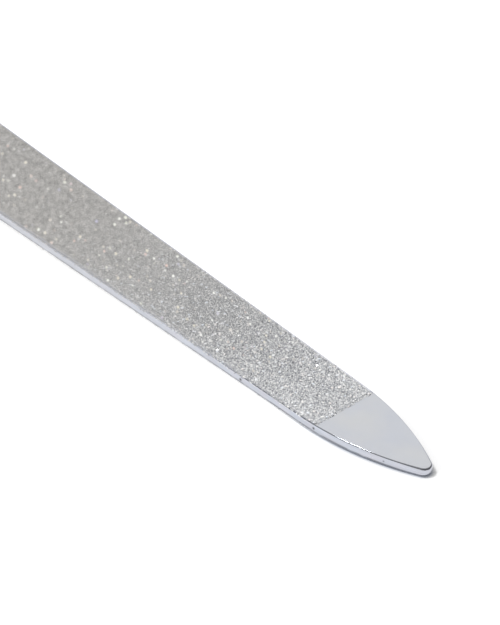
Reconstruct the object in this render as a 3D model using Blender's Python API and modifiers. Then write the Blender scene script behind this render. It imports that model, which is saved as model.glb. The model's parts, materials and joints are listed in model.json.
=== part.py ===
"""A diamond nail file: a stamped and chromed steel blade with a pointed bare tip,
a diamond grit coat bonded to each face, and a slim moulded handle whose two shells
close round the blade's tang and are pegged together through it.

Metres, +Z up. The blade lies flat, its nose at +X and the handle at -X. The origin is
under the middle of the file, level with the flat underside of the handle.
"""
import math

import bmesh
import bpy
from mathutils import Vector

# Steel blank, stamped from one sheet
STEEL_THICKNESS = 0.0010
BLADE_LENGTH = 0.0880            # nose to the mouth of the handle
NOSE_RADIUS = 0.00085
SHOULDER_SETBACK = 0.0138        # nose to where the pointed tip's arcs end
SHOULDER_WIDTH = 0.0082
MOUTH_BLADE_WIDTH = 0.0129       # blade's width where it enters the handle
EDGE_ROUND = 0.00013             # polished rounding of the stamped rims

# Tang, the blank's narrow end inside the handle
HEEL_DEPTH = 0.0030              # full width blade inside the mouth
HEEL_CORNER = 0.0010
ROOT_FILLET = 0.0008
TANG_WIDTH = 0.0074
TANG_LENGTH = 0.0460             # mouth of the handle to the tang's end
TANG_END_CORNER = 0.0022
TANG_HOLE_RADIUS = 0.0016
TANG_HOLE_COUNT = 2
TANG_HOLE_PITCH = 0.0200
TANG_HOLE_TO_END = 0.0060

# Diamond grit coats, one on each face
COAT_THICKNESS = 0.00012
COAT_SETBACK = 0.0117            # nose to the coat's straight front edge
COAT_RIM = 0.00002               # bare land between the rim's rounding and the coat
COAT_MOUTH_MARGIN = 0.0006       # bare steel left in front of the handle
BOND_LINE = 0.00001              # between coat and steel

# Handle, as plastic left round the steel: walls beside it and cover over it
MOUTH_WALL = 0.0009
MOUTH_COVER = 0.0011
MOUTH_ROUND = 0.0005
WAIST_AT = 0.0150
WAIST_WALL = 0.0025
WAIST_COVER = 0.0016
BELLY_AT = 0.0420
BELLY_WALL = 0.0038
BELLY_COVER = 0.0021
TAIL_LENGTH = 0.0200             # solid plastic behind the tang
FOOT_CUT = 0.00012               # how deep the flat underside is cut into the belly
SECTION_POWER = 2.6              # 2 is an ellipse, more is boxier
TAIL_PLAN_POWER = 2.3
TAIL_SIDE_POWER = 3.0
GROOVE_COUNT = 5
GROOVE_PITCH = 0.0019
GROOVE_DEPTH = 0.00028
GROOVE_REACH = 0.75              # share of the half width that a groove spans

# Moulded fit
FIT_GAP = 0.0001                 # steel to pocket, peg to hole, peg to socket
PARTING_GAP = 0.0001
PEG_GRIP = 0.0009                # how far a peg enters its socket
PEG_ROOT = 0.0004                # how far a peg's root is sunk in the upper shell
PEG_CHAMFER = 0.0002

# Smoothness of round stretches, and what counts as an edge
NOSE_STEPS = 8
TIP_STEPS = 28
CORNER_STEPS = 5
HOLE_STEPS = 32
SECTION_STEPS = 24
STATION_STEP = 0.0020
GROOVE_STATIONS = 6
MOUTH_STATIONS = 4
TAIL_STATIONS = 16
TAIL_CROWDING = 1.5              # draws the tail's sections towards its end
PEG_BEVEL_STEPS = 1
RIM_STEPS = 2
RIM_ANGLE = math.radians(60)     # rims of the stamped plate, not facets of its round sides
SHARP_ANGLE = math.radians(35)
FLAT_ANGLE = math.radians(0.05)
MERGE = 0.000001

# Places that follow from the sizes above
HANDLE_LENGTH = TANG_LENGTH + TAIL_LENGTH
NOSE_X = (BLADE_LENGTH + HANDLE_LENGTH) / 2
MOUTH_X = NOSE_X - BLADE_LENGTH
HEEL_X = MOUTH_X - HEEL_DEPTH
TANG_END_X = MOUTH_X - TANG_LENGTH
HALF_STEEL = STEEL_THICKNESS / 2
BLADE_Z = HALF_STEEL + BELLY_COVER - FOOT_CUT
COAT_INSET = EDGE_ROUND + COAT_RIM
PEG_RADIUS = TANG_HOLE_RADIUS - FIT_GAP
POCKET_HALF = HALF_STEEL + FIT_GAP

TAPER = (MOUTH_BLADE_WIDTH - SHOULDER_WIDTH) / 2 / (BLADE_LENGTH - SHOULDER_SETBACK)

COLLECTION = "diamond_nail_file"


def clear_scene():
    for obj in list(bpy.data.objects):
        bpy.data.objects.remove(obj, do_unlink=True)


def make_collection(name):
    collection = bpy.data.collections.new(name)
    bpy.context.scene.collection.children.link(collection)
    return collection


def make_material(name, colour, roughness, metallic):
    material = bpy.data.materials.new(name)
    material.use_nodes = True
    shader = material.node_tree.nodes["Principled BSDF"]
    shader.inputs["Base Color"].default_value = (*colour, 1)
    shader.inputs["Roughness"].default_value = roughness
    shader.inputs["Metallic"].default_value = metallic
    return material


def add_object(name, mesh, collection, material=None):
    obj = bpy.data.objects.new(name, mesh)
    collection.objects.link(obj)
    if material:
        mesh.materials.append(material)
    return obj


def make_cutter(name, mesh, collection):
    cutter = add_object(name, mesh, collection)
    cutter.hide_render = True
    cutter.display_type = "WIRE"
    return cutter


def add_boolean(obj, tool, operation):
    modifier = obj.modifiers.new(tool.name, "BOOLEAN")
    modifier.operation = operation
    modifier.solver = "EXACT"
    modifier.object = tool


def plate_mesh(name, loops, middle_z, thickness):
    """A flat plate: a filled 2D curve, extruded both ways, then turned into a clean mesh."""
    curve = bpy.data.curves.new(name + "_outline", "CURVE")
    curve.dimensions = "2D"
    curve.fill_mode = "BOTH"
    curve.extrude = thickness / 2
    for loop in loops:
        spline = curve.splines.new("POLY")
        spline.points.add(len(loop) - 1)
        for point, (x, y) in zip(spline.points, loop):
            point.co = (x, y, 0, 1)
        spline.use_cyclic_u = True
    guide = bpy.data.objects.new(name + "_outline", curve)
    bpy.context.scene.collection.objects.link(guide)
    guide.location.z = middle_z
    bpy.context.view_layer.update()
    graph = bpy.context.evaluated_depsgraph_get()
    mesh = bpy.data.meshes.new_from_object(guide.evaluated_get(graph))
    mesh.transform(guide.matrix_world)
    mesh.name = name
    bpy.data.objects.remove(guide)
    bm = bmesh.new()
    bm.from_mesh(mesh)
    bmesh.ops.remove_doubles(bm, verts=bm.verts, dist=MERGE)
    bmesh.ops.dissolve_limit(bm, angle_limit=FLAT_ANGLE, verts=bm.verts, edges=bm.edges)
    bmesh.ops.recalc_face_normals(bm, faces=bm.faces)
    bm.to_mesh(mesh)
    bm.free()
    mesh.shade_flat()
    return mesh


def mirrored_loop(half):
    """Close a half outline, given on the +Y side from nose to tail, with its mirror image."""
    other = [(x, -y) for x, y in reversed(half) if y > MERGE]
    return half + other


def arc_points(centre, radius, start, end, steps):
    turn = (end - start) / steps
    angles = [start + turn * i for i in range(steps + 1)]
    return [(centre[0] + radius * math.cos(a), centre[1] + radius * math.sin(a)) for a in angles]


def fillet_points(before, corner, after, radius, steps=CORNER_STEPS):
    """Points of the arc that rounds a corner between two straight runs."""
    corner = Vector(corner)
    to_before = (Vector(before) - corner).normalized()
    to_after = (Vector(after) - corner).normalized()
    half_angle = to_before.angle(to_after) / 2
    centre = corner + (to_before + to_after).normalized() * radius / math.sin(half_angle)
    start = (corner + to_before * radius / math.tan(half_angle) - centre).normalized()
    end = (corner + to_after * radius / math.tan(half_angle) - centre).normalized()
    return [tuple(centre + radius * start.slerp(end, i / steps)) for i in range(steps + 1)]


def taper_half_width(x):
    """Half the blade's width on its straight taper, anywhere behind the shoulder."""
    return SHOULDER_WIDTH / 2 + (NOSE_X - SHOULDER_SETBACK - x) * TAPER


def tip_arcs():
    """The nose's round and the long arc that runs from it, tangent to both, to the taper."""
    slope = math.atan(TAPER)
    reach = SHOULDER_SETBACK - NOSE_RADIUS
    half = SHOULDER_WIDTH / 2
    radius = (reach ** 2 + half ** 2 - NOSE_RADIUS ** 2) / (
        2 * (half * math.cos(slope) - reach * math.sin(slope) - NOSE_RADIUS))
    nose_centre = (NOSE_X - NOSE_RADIUS, 0.0)
    centre = (NOSE_X - SHOULDER_SETBACK - radius * math.sin(slope), half - radius * math.cos(slope))
    meet = math.atan2(nose_centre[1] - centre[1], nose_centre[0] - centre[0])
    nose = arc_points(nose_centre, NOSE_RADIUS, 0, meet, NOSE_STEPS)
    flank = arc_points(centre, radius, meet, math.pi / 2 - slope, TIP_STEPS)
    return nose, flank


def tang_half_outline(front_x, grow=0.0):
    """Blade and tang from front_x back to the tang's end; grow widens it all round."""
    front = (front_x, taper_half_width(front_x) + grow)
    heel = (HEEL_X - grow, taper_half_width(HEEL_X) + grow)
    root = (HEEL_X - grow, TANG_WIDTH / 2 + grow)
    end = (TANG_END_X - grow, TANG_WIDTH / 2 + grow)
    middle = (TANG_END_X - grow, 0.0)
    points = fillet_points(front, heel, root, HEEL_CORNER + grow)
    points += fillet_points(heel, root, end, ROOT_FILLET - grow)
    points += fillet_points(root, end, middle, TANG_END_CORNER + grow)
    return [front] + points


def hole_centres():
    """The tang's holes, counted from the one nearest its end."""
    last = TANG_END_X + TANG_HOLE_TO_END
    return [last + TANG_HOLE_PITCH * i for i in range(TANG_HOLE_COUNT)]


def build_blank(collection, material):
    nose, flank = tip_arcs()
    outline = mirrored_loop(nose + flank[1:] + tang_half_outline(MOUTH_X))
    holes = [arc_points((x, 0.0), TANG_HOLE_RADIUS, 0, 2 * math.pi, HOLE_STEPS)[:-1]
             for x in hole_centres()]
    mesh = plate_mesh("blade_blank", [outline] + holes, BLADE_Z, STEEL_THICKNESS)
    mesh.shade_smooth()
    mesh.set_sharp_from_angle(angle=SHARP_ANGLE)
    blank = add_object("blade_blank", mesh, collection, material)
    rims = blank.modifiers.new("polished_rims", "BEVEL")
    rims.limit_method = "ANGLE"
    rims.angle_limit = RIM_ANGLE
    rims.width = EDGE_ROUND
    rims.segments = RIM_STEPS


def build_coat(name, side, collection, material):
    """A coat runs from its straight front edge, rim to rim, almost to the handle."""
    front_x = NOSE_X - COAT_SETBACK
    back_x = MOUTH_X + COAT_MOUTH_MARGIN
    flank = tip_arcs()[1]
    along = [(x, y) for x, y in flank if x < front_x - MERGE]
    ahead = [(x, y) for x, y in flank if x >= front_x - MERGE][-1]
    behind = along[0] if along else (back_x, taper_half_width(back_x))
    share = (ahead[0] - front_x) / (ahead[0] - behind[0])
    corner = (front_x, ahead[1] + (behind[1] - ahead[1]) * share)
    half = [corner] + along + [(back_x, taper_half_width(back_x))]
    outline = mirrored_loop([(x, y - COAT_INSET) for x, y in half])
    middle = BLADE_Z + side * (HALF_STEEL + BOND_LINE + COAT_THICKNESS / 2)
    mesh = plate_mesh(name, [outline], middle, COAT_THICKNESS)
    add_object(name, mesh, collection, material)


def ease(start, end, share):
    """A smooth S shaped step from start to end."""
    share = min(max(share, 0.0), 1.0)
    return start + (end - start) * share * share * (3 - 2 * share)


def swell(mouth, waist, belly, back, power):
    """One outline of the handle: mouth, drawn in waist, full belly and rounded tail."""
    if back < WAIST_AT:
        return ease(mouth, waist, back / WAIST_AT)
    if back < BELLY_AT:
        return ease(waist, belly, (back - WAIST_AT) / (BELLY_AT - WAIST_AT))
    share = min((back - BELLY_AT) / (HANDLE_LENGTH - BELLY_AT), 1.0)
    return belly * (1 - share ** power) ** (1 / power)


def mouth_inset(back):
    """How far the rounded edge of the mouth draws the outlines in."""
    if back >= MOUTH_ROUND:
        return 0.0
    left = MOUTH_ROUND - back
    return MOUTH_ROUND - math.sqrt(MOUTH_ROUND ** 2 - left ** 2)


def handle_half_width(back):
    mouth = MOUTH_BLADE_WIDTH / 2 + FIT_GAP + MOUTH_WALL
    waist = TANG_WIDTH / 2 + WAIST_WALL
    belly = TANG_WIDTH / 2 + BELLY_WALL
    return swell(mouth, waist, belly, back, TAIL_PLAN_POWER) - mouth_inset(back)


def handle_half_thickness(back):
    mouth = HALF_STEEL + MOUTH_COVER
    waist = HALF_STEEL + WAIST_COVER
    belly = HALF_STEEL + BELLY_COVER
    return swell(mouth, waist, belly, back, TAIL_SIDE_POWER) - mouth_inset(back)


def groove_depth(back, across):
    """Depth of the thumb grooves, which fade out towards the handle's flanks."""
    half_run = GROOVE_COUNT * GROOVE_PITCH / 2
    if abs(back - WAIST_AT) >= half_run or abs(across) >= GROOVE_REACH:
        return 0.0
    wave = math.sin(math.pi * (back - WAIST_AT + half_run) / GROOVE_PITCH) ** 2
    fade = math.cos(math.pi / 2 * across / GROOVE_REACH) ** 2
    return GROOVE_DEPTH * wave * fade


def station_list():
    """Distances from the mouth at which the handle's section is drawn."""
    half_run = GROOVE_COUNT * GROOVE_PITCH / 2
    steps = GROOVE_COUNT * GROOVE_STATIONS
    stations = [MOUTH_ROUND * (1 - math.cos(math.pi / 2 * i / MOUTH_STATIONS)) for i in range(MOUTH_STATIONS)]
    stations += spread(MOUTH_ROUND, WAIST_AT - half_run, STATION_STEP)
    stations += [WAIST_AT - half_run + 2 * half_run * i / steps for i in range(steps)]
    stations += spread(WAIST_AT + half_run, BELLY_AT, STATION_STEP)
    tail = HANDLE_LENGTH - BELLY_AT
    for i in range(TAIL_STATIONS):
        turn = 1 - (1 - i / TAIL_STATIONS) ** TAIL_CROWDING
        stations.append(BELLY_AT + tail * math.sin(math.pi / 2 * turn))
    return stations


def spread(start, end, step):
    count = max(1, round((end - start) / step))
    return [start + (end - start) * i / count for i in range(count)]


def section_points(back):
    """Half of the handle's section, from one flank over the top to the other."""
    half_width = handle_half_width(back)
    height = handle_half_thickness(back) - PARTING_GAP / 2
    points = []
    for i in range(SECTION_STEPS + 1):
        angle = math.pi * i / SECTION_STEPS
        across = math.copysign(abs(math.cos(angle)) ** (2 / SECTION_POWER), math.cos(angle))
        up = math.sin(angle) ** (2 / SECTION_POWER) if 0 < i < SECTION_STEPS else 0.0
        z = height * up - groove_depth(back, across)
        points.append((half_width * across, PARTING_GAP / 2 + max(z, 0.0)))
    return points


def shell_mesh(name, side):
    """One shell of the handle, lofted through its sections; side is 1 above, -1 below."""
    bm = bmesh.new()
    rings = []
    for back in station_list():
        ring = [bm.verts.new((MOUTH_X - back, y, BLADE_Z + side * z)) for y, z in section_points(back)]
        rings.append(ring)
    tail = bm.verts.new((MOUTH_X - HANDLE_LENGTH, 0, BLADE_Z + side * PARTING_GAP / 2))
    bm.faces.new(rings[0])
    for near, far in zip(rings, rings[1:]):
        for i in range(SECTION_STEPS):
            bm.faces.new((near[i], near[i + 1], far[i + 1], far[i])).smooth = True
        bm.faces.new((near[0], far[0], far[-1], near[-1]))
    last = rings[-1]
    for i in range(SECTION_STEPS):
        bm.faces.new((last[i], last[i + 1], tail)).smooth = True
    bm.faces.new((last[0], tail, last[-1]))
    if side < 0:
        cut = bmesh.ops.bisect_plane(
            bm, geom=bm.verts[:] + bm.edges[:] + bm.faces[:], dist=MERGE,
            plane_co=(0, 0, 0), plane_no=(0, 0, -1), clear_outer=True)
        rim = [item for item in cut["geom_cut"] if isinstance(item, bmesh.types.BMEdge)]
        bmesh.ops.contextual_create(bm, geom=rim)
    bmesh.ops.recalc_face_normals(bm, faces=bm.faces)
    mesh = bpy.data.meshes.new(name)
    bm.to_mesh(mesh)
    bm.free()
    return mesh


def pin_mesh(name, centres, radius, low_z, high_z, chamfer=0.0):
    """Round pins standing at the given places, with a chamfer at the lower end."""
    bm = bmesh.new()
    for x in centres:
        made = bmesh.ops.create_cone(
            bm, cap_ends=True, segments=HOLE_STEPS, radius1=radius, radius2=radius, depth=high_z - low_z)
        bmesh.ops.translate(bm, verts=made["verts"], vec=(x, 0, (low_z + high_z) / 2))
    if chamfer:
        rims = [edge for edge in bm.edges if all(abs(v.co.z - low_z) < MERGE for v in edge.verts)]
        bmesh.ops.bevel(bm, geom=rims, offset=chamfer, segments=PEG_BEVEL_STEPS, affect="EDGES")
    for face in bm.faces:
        face.smooth = face.normal.z ** 2 < MERGE
    mesh = bpy.data.meshes.new(name)
    bm.to_mesh(mesh)
    bm.free()
    return mesh


def build_handle(collection, cutters, material):
    clear_front = MOUTH_X + MOUTH_ROUND
    pocket = make_cutter("tang_pocket_cutter", plate_mesh(
        "tang_pocket_cutter", [mirrored_loop(tang_half_outline(clear_front, FIT_GAP))],
        BLADE_Z, 2 * POCKET_HALF), cutters)
    roof_z = BLADE_Z + POCKET_HALF
    floor_z = BLADE_Z - POCKET_HALF
    pegs = make_cutter("upper_shell_pegs", pin_mesh(
        "upper_shell_pegs", hole_centres(), PEG_RADIUS,
        floor_z - PEG_GRIP, roof_z + PEG_ROOT, PEG_CHAMFER), cutters)
    sockets = make_cutter("peg_socket_cutter", pin_mesh(
        "peg_socket_cutter", hole_centres(), PEG_RADIUS + FIT_GAP,
        floor_z - PEG_GRIP - FIT_GAP, floor_z + PEG_ROOT), cutters)
    upper = add_object("handle_upper_shell", shell_mesh("handle_upper_shell", 1), collection, material)
    add_boolean(upper, pocket, "DIFFERENCE")
    add_boolean(upper, pegs, "UNION")
    lower = add_object("handle_lower_shell", shell_mesh("handle_lower_shell", -1), collection, material)
    add_boolean(lower, pocket, "DIFFERENCE")
    add_boolean(lower, sockets, "DIFFERENCE")


def build_file():
    clear_scene()
    parts = make_collection(COLLECTION)
    cutters = make_collection("cutters")
    chrome = make_material("chromed_steel", (0.61, 0.62, 0.66), 0.22, 1.0)
    coarse_grit = make_material("coarse_diamond_grit", (0.43, 0.42, 0.41), 0.50, 0.6)
    fine_grit = make_material("fine_diamond_grit", (0.45, 0.44, 0.43), 0.55, 0.6)
    plastic = make_material("handle_plastic", (0.035, 0.036, 0.040), 0.45, 0.0)
    build_blank(parts, chrome)
    build_coat("upper_grit_coat", 1, parts, coarse_grit)
    build_coat("lower_grit_coat", -1, parts, fine_grit)
    build_handle(parts, cutters, plastic)


build_file()
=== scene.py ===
# %% [markdown]
# # A diamond nail file, dressed for the camera
# The solids of the file come in as a fixed frame. This lesson gives each of them the look
# of the real thing: a chromed blade with a satin tip, thousands of small diamonds held in
# nickel on both faces, and a moulded handle. Lengths are in metres, and +X runs towards
# the nose of the file.

# %% Load the frame
import json
import math

import bmesh
import bpy
import numpy as np
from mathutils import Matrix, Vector

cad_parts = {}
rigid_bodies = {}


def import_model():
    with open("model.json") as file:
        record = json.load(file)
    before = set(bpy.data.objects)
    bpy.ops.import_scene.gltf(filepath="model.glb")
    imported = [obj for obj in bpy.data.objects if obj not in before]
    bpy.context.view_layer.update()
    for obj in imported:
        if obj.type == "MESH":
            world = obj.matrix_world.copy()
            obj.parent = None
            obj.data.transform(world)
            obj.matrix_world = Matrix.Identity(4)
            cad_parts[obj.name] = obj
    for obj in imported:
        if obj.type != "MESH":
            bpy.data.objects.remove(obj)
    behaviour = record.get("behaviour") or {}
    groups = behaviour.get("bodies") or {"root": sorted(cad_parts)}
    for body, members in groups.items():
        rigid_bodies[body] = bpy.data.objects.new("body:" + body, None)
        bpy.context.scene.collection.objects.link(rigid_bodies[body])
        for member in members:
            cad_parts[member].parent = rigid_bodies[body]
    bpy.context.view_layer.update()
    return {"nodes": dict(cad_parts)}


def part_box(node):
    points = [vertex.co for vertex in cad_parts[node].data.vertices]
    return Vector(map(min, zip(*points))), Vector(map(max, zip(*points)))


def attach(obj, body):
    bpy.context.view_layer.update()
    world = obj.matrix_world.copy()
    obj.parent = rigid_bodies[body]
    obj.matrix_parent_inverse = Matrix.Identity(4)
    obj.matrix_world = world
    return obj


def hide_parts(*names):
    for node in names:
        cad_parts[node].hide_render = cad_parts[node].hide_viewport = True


for old in list(bpy.data.objects):
    bpy.data.objects.remove(old)
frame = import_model()
nodes = frame["nodes"]

# %% [markdown]
# Most sizes that the looks share with the solids are read off the frame's boxes. The few
# that a box can't give are named here once: the arcs of the pointed tip, the heel and the
# tang, and how far the coats keep from the blade's edge.

# %% Sizes
BLADE_LOW, BLADE_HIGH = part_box("blade_blank")
COAT_LOW, COAT_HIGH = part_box("upper_grit_coat")
UNDER_LOW, UNDER_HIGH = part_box("lower_grit_coat")
NOSE_X = BLADE_HIGH.x
MOUTH_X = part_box("handle_upper_shell")[1].x
TANG_END_X = BLADE_LOW.x
STEEL_TOP = BLADE_HIGH.z
STEEL_BOTTOM = BLADE_LOW.z
STEEL_THICKNESS = STEEL_TOP - STEEL_BOTTOM
NOSE_RADIUS = 0.00085
SHOULDER_SETBACK = 0.0138
SHOULDER_WIDTH = 0.0082
MOUTH_BLADE_WIDTH = 0.0129
TAPER = (MOUTH_BLADE_WIDTH - SHOULDER_WIDTH) / 2 / (NOSE_X - MOUTH_X - SHOULDER_SETBACK)
HEEL_X = MOUTH_X - 0.0030
HEEL_CORNER = 0.0010
ROOT_FILLET = 0.0008
TANG_WIDTH = 0.0074
TANG_END_CORNER = 0.0022
TANG_HOLE_RADIUS = 0.0016
TANG_HOLES_X = (TANG_END_X + 0.0060, TANG_END_X + 0.0260)
EDGE_ROUND = 0.00013
COAT_INSET = 0.00015


def tip_circle():
    """Setback, side and radius of the long arc of the tip, and the angle where the nose starts."""
    slope = math.atan(TAPER)
    reach = SHOULDER_SETBACK - NOSE_RADIUS
    half = SHOULDER_WIDTH / 2
    radius = (reach ** 2 + half ** 2 - NOSE_RADIUS ** 2) / (
        2 * (half * math.cos(slope) - reach * math.sin(slope) - NOSE_RADIUS))
    back = SHOULDER_SETBACK + radius * math.sin(slope)
    side = half - radius * math.cos(slope)
    return back, side, radius, math.atan2(-side, back - NOSE_RADIUS)


ARC_BACK, ARC_SIDE, ARC_RADIUS, MEET_ANGLE = tip_circle()


def blade_half_width(back):
    """Half the blade's width at a distance behind the nose; back may be an array."""
    back = np.asarray(back, float)
    nose = np.sqrt(np.maximum(NOSE_RADIUS ** 2 - (NOSE_RADIUS - back) ** 2, 0))
    flank = ARC_SIDE + np.sqrt(np.maximum(ARC_RADIUS ** 2 - (ARC_BACK - back) ** 2, 0))
    straight = SHOULDER_WIDTH / 2 + (back - SHOULDER_SETBACK) * TAPER
    meet = NOSE_RADIUS * (1 - math.cos(MEET_ANGLE))
    return np.where(back < meet, nose, np.where(back < SHOULDER_SETBACK, flank, straight))


print("radius of the tip's long arcs in mm:", round(ARC_RADIUS * 1000, 2))

# %% [markdown]
# ## Camera
# The photograph looks down on the file from beside its nose, with a 100 mm lens close by.
# The camera is placed by where the nose's lowest point shows in the 500 by 625 picture,
# so the nose stays there whatever the angles are.

# %% Camera
PICTURE_WIDTH = 500
PICTURE_HEIGHT = 625
LENS_MM = 100
SENSOR_MM = 36
CLIP_NEAR = 0.01
CLIP_FAR = 10
CAMERA_RANGE = 0.16603
CAMERA_ELEVATION = math.radians(35.945)
CAMERA_AZIMUTH = math.radians(49.249)
NOSE_PIXEL = (429.64, 476.06)


def add_camera():
    """A camera whose ray through the nose's pixel meets the nose at the given range."""
    forward = Vector((
        -math.sin(CAMERA_AZIMUTH) * math.cos(CAMERA_ELEVATION),
        math.cos(CAMERA_AZIMUTH) * math.cos(CAMERA_ELEVATION),
        -math.sin(CAMERA_ELEVATION)))
    right = forward.cross(Vector((0, 0, 1))).normalized()
    up = right.cross(forward)
    focal_pixels = LENS_MM * PICTURE_HEIGHT / SENSOR_MM
    ray = (forward * focal_pixels
           + right * (NOSE_PIXEL[0] - PICTURE_WIDTH / 2)
           - up * (NOSE_PIXEL[1] - PICTURE_HEIGHT / 2)).normalized()
    data = bpy.data.cameras.new("camera")
    data.lens = LENS_MM
    data.sensor_width = SENSOR_MM
    data.clip_start = CLIP_NEAR
    data.clip_end = CLIP_FAR
    camera = bpy.data.objects.new("camera", data)
    bpy.context.scene.collection.objects.link(camera)
    camera.location = Vector((NOSE_X, 0, STEEL_BOTTOM)) - ray * CAMERA_RANGE
    camera.rotation_mode = "QUATERNION"
    camera.rotation_quaternion = forward.to_track_quat("-Z", "Y")
    bpy.context.scene.camera = camera
    return camera


camera = add_camera()
bpy.context.scene.view_settings.view_transform = "Standard"
print("camera at", [round(v, 4) for v in camera.location])

# %% [markdown]
# ## Helpers
# Two kinds of helper keep the cells short. The first ones work on meshes in edit mode:
# they select one object, or the points, edges or faces that pass a test, as one would
# with the mouse. A test by place works where an index would change with every edit.

# %% Mesh helpers


def select_only(obj):
    """Deselect everything, then select one object and make it the active one."""
    for other in bpy.context.selected_objects:
        other.select_set(False)
    if obj:
        obj.select_set(True)
        bpy.context.view_layer.objects.active = obj


def edit_mode(on):
    bpy.ops.object.mode_set(mode="EDIT" if on else "OBJECT")


def pick(kind, test):
    """In edit mode, select only the verts, edges or faces that pass a test."""
    bpy.ops.mesh.select_mode(type=kind[:-1].upper())
    bpy.ops.mesh.select_all(action="DESELECT")
    shape = bmesh.from_edit_mesh(bpy.context.edit_object.data)
    for item in getattr(shape, kind):
        if test(item):
            item.select_set(True)
    bmesh.update_edit_mesh(bpy.context.edit_object.data)


def draw_out(dx):
    """Extrude what is selected along X."""
    bpy.ops.mesh.extrude_region_move(TRANSFORM_OT_translate={"value": (dx, 0, 0)})


def apply_place(obj):
    select_only(obj)
    bpy.ops.object.transform_apply(location=True, rotation=True, scale=True)


def apply_modifier(obj, kind, name, **settings):
    """Add a modifier with its settings, and make its result part of the mesh."""
    select_only(obj)
    modifier = obj.modifiers.new(name, kind)
    for key, value in settings.items():
        setattr(modifier, key, value)
    bpy.ops.object.modifier_apply(modifier=name)


def middle(edge):
    return (edge.verts[0].co + edge.verts[1].co) / 2


# %% [markdown]
# The other helpers build node trees. Each adds one node and returns the output that the
# next step needs, so a finish reads like a short sum. Much of it is told by pairs: the
# helper spread gives its first end at the first value of its reach, its second end at
# the second, and a straight or smooth passage between them.

# %% Node helpers


def add_node(tree, kind, inputs=None, **settings):
    """A node with its settings; an input may be a value or another node's output."""
    node = tree.nodes.new(kind)
    for name, value in settings.items():
        setattr(node, name, value)
    for name, value in (inputs or {}).items():
        if isinstance(value, bpy.types.NodeSocket):
            tree.links.new(value, node.inputs[name])
        else:
            node.inputs[name].default_value = value
    return node


def object_place(tree):
    """Object coordinates, which stay with the piece wherever it moves."""
    return add_node(tree, "ShaderNodeTexCoord").outputs["Object"]


def coordinate(tree, vector, axis):
    return add_node(tree, "ShaderNodeSeparateXYZ", inputs={0: vector}).outputs[axis]


def calc(tree, operation, *values):
    """One step of arithmetic on one to three numbers."""
    return add_node(tree, "ShaderNodeMath", operation=operation,
                    inputs=dict(enumerate(values))).outputs[0]


def times(tree, *values):
    """The product of two or more numbers."""
    product = values[0]
    for value in values[1:]:
        product = calc(tree, "MULTIPLY", product, value)
    return product


def spread(tree, value, reach, ends=(0.0, 1.0), smooth=False):
    """Map a value from its reach to a pair of ends, and hold it there beyond them."""
    return add_node(
        tree, "ShaderNodeMapRange", interpolation_type="SMOOTHSTEP" if smooth else "LINEAR",
        inputs={"Value": value, "From Min": reach[0], "From Max": reach[1],
                "To Min": ends[0], "To Max": ends[1]}).outputs[0]


def between(tree, share, low, high):
    """A number between two numbers, by a share."""
    return add_node(tree, "ShaderNodeMix", inputs={0: share, 2: low, 3: high}).outputs[0]


def blend(tree, share, low, high):
    """A colour between two colours, by a share."""
    return add_node(tree, "ShaderNodeMix", data_type="RGBA",
                    inputs={0: share, 6: low, 7: high}).outputs[2]


def scaled(tree, colour, factor):
    """A colour made darker or brighter by a factor."""
    return add_node(tree, "ShaderNodeVectorMath", operation="SCALE",
                    inputs={0: colour, "Scale": factor}).outputs[0]


def graded(tree, share, stops):
    """A colour from a ramp of stops, each a position and a colour."""
    ramp = add_node(tree, "ShaderNodeValToRGB", inputs={"Fac": share})
    elements = ramp.color_ramp.elements
    for _ in stops[2:]:
        elements.new(0.5)
    for element, (position, colour) in zip(elements, stops):
        element.position = position
        element.color = colour
    return ramp.outputs["Color"]


def grey(level):
    return (level, level, level, 1)


def new_material(name, **values):
    """A material and its main shader; in a socket's name an underscore stands for a space."""
    material = bpy.data.materials.new(name)
    material.use_nodes = True
    shader = material.node_tree.nodes["Principled BSDF"]
    for socket, value in values.items():
        shader.inputs[socket.replace("_", " ")].default_value = value
    return material, material.node_tree, shader


def feed(tree, shader, **outputs):
    """Link outputs to the shader's sockets, named as for new_material."""
    for socket, output in outputs.items():
        tree.links.new(output, shader.inputs[socket.replace("_", " ")])


# %% [markdown]
# ## Table
# The file leans on its nose and on the belly of its handle, so the table passes through
# both: it tilts by about a degree against the blade. Its paint is white. A little light of
# its own is added where it is seen directly or in the chrome, as in an overexposed light
# tent, so that only the deepest shadows stay: the narrow gap under the tip, where the paint
# is also darkened as painted shade found with ambient occlusion, and the soft shadow beside
# the nose.

# %% Table
TABLE_DROP = 0.00002
TABLE_SIZE = 12.0
TABLE_GLOW = 0.12
TABLE_WHITE = 0.93
TABLE_ROUGHNESS = 0.7
CONTACT_REACH = 0.0004
CONTACT_FADE = (0.42, 0.95)
# The paint's darker tone in the gap under the tip is painted shade.
PAINTED_GAP_SHADE = (0.50, 0.53, 0.60, 1)
AWAY_FROM_NOSE = (NOSE_X - 0.007, NOSE_X - 0.021)
AWAY_GLOW = 0.62
FAR_FROM_FILE = (0.12, 0.40)
FAR_GLOW = 0.70


def table_slope():
    """Rise of the flat that passes under the nose and touches the handle."""
    shell = nodes["handle_lower_shell"].data.vertices
    return max((STEEL_BOTTOM - v.co.z) / (NOSE_X - v.co.x) for v in shell)


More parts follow.
